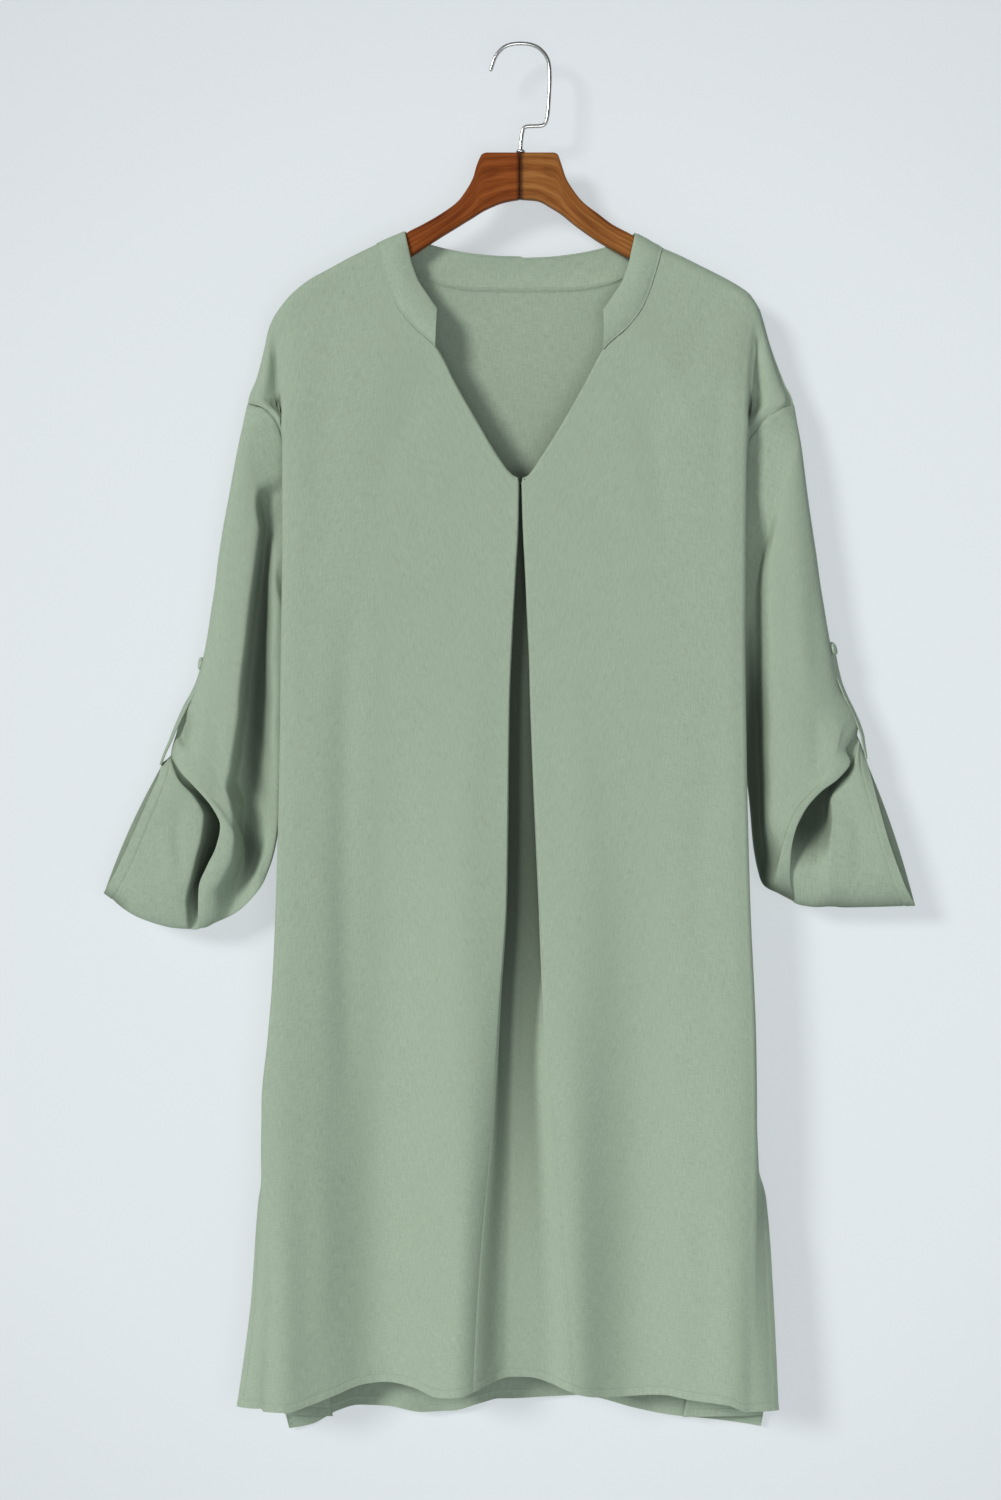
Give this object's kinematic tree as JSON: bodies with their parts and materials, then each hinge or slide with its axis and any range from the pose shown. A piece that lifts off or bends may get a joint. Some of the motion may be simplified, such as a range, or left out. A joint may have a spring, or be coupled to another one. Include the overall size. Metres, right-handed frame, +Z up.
{
  "type": "roll-tab sleeve dress on a wooden hanger",
  "caption": "Green V-neck dress with a band collar, inverted front pleat, hitched roll-tab sleeves and side slits, hanging on a flat wooden hanger with a wire hook.",
  "frame": {"origin": "inner top of the hook's bend, where a rod or wall hook holds the hanger", "axes": "+X to the right seen from the front, -Y the front of the dress, +Z up"},
  "size_m": [0.6822, 0.073, 1.1852],
  "materials": {
    "cloth": "matte woven sage green",
    "button": "satin green",
    "wood": "satin brown stain",
    "steel": "bright wire"
  },
  "bodies": {
    "root": {"front_panel": "cloth", "back_panel": "cloth", "neck_band": "cloth", "sleeve_left": "cloth", "sleeve_right": "cloth", "tab_left": "cloth", "tab_right": "cloth", "button_left": "button", "button_right": "button", "hanger_left": "wood", "hanger_right": "wood", "hook": "steel", "ferrule": "steel"}
  },
  "joints": []
}
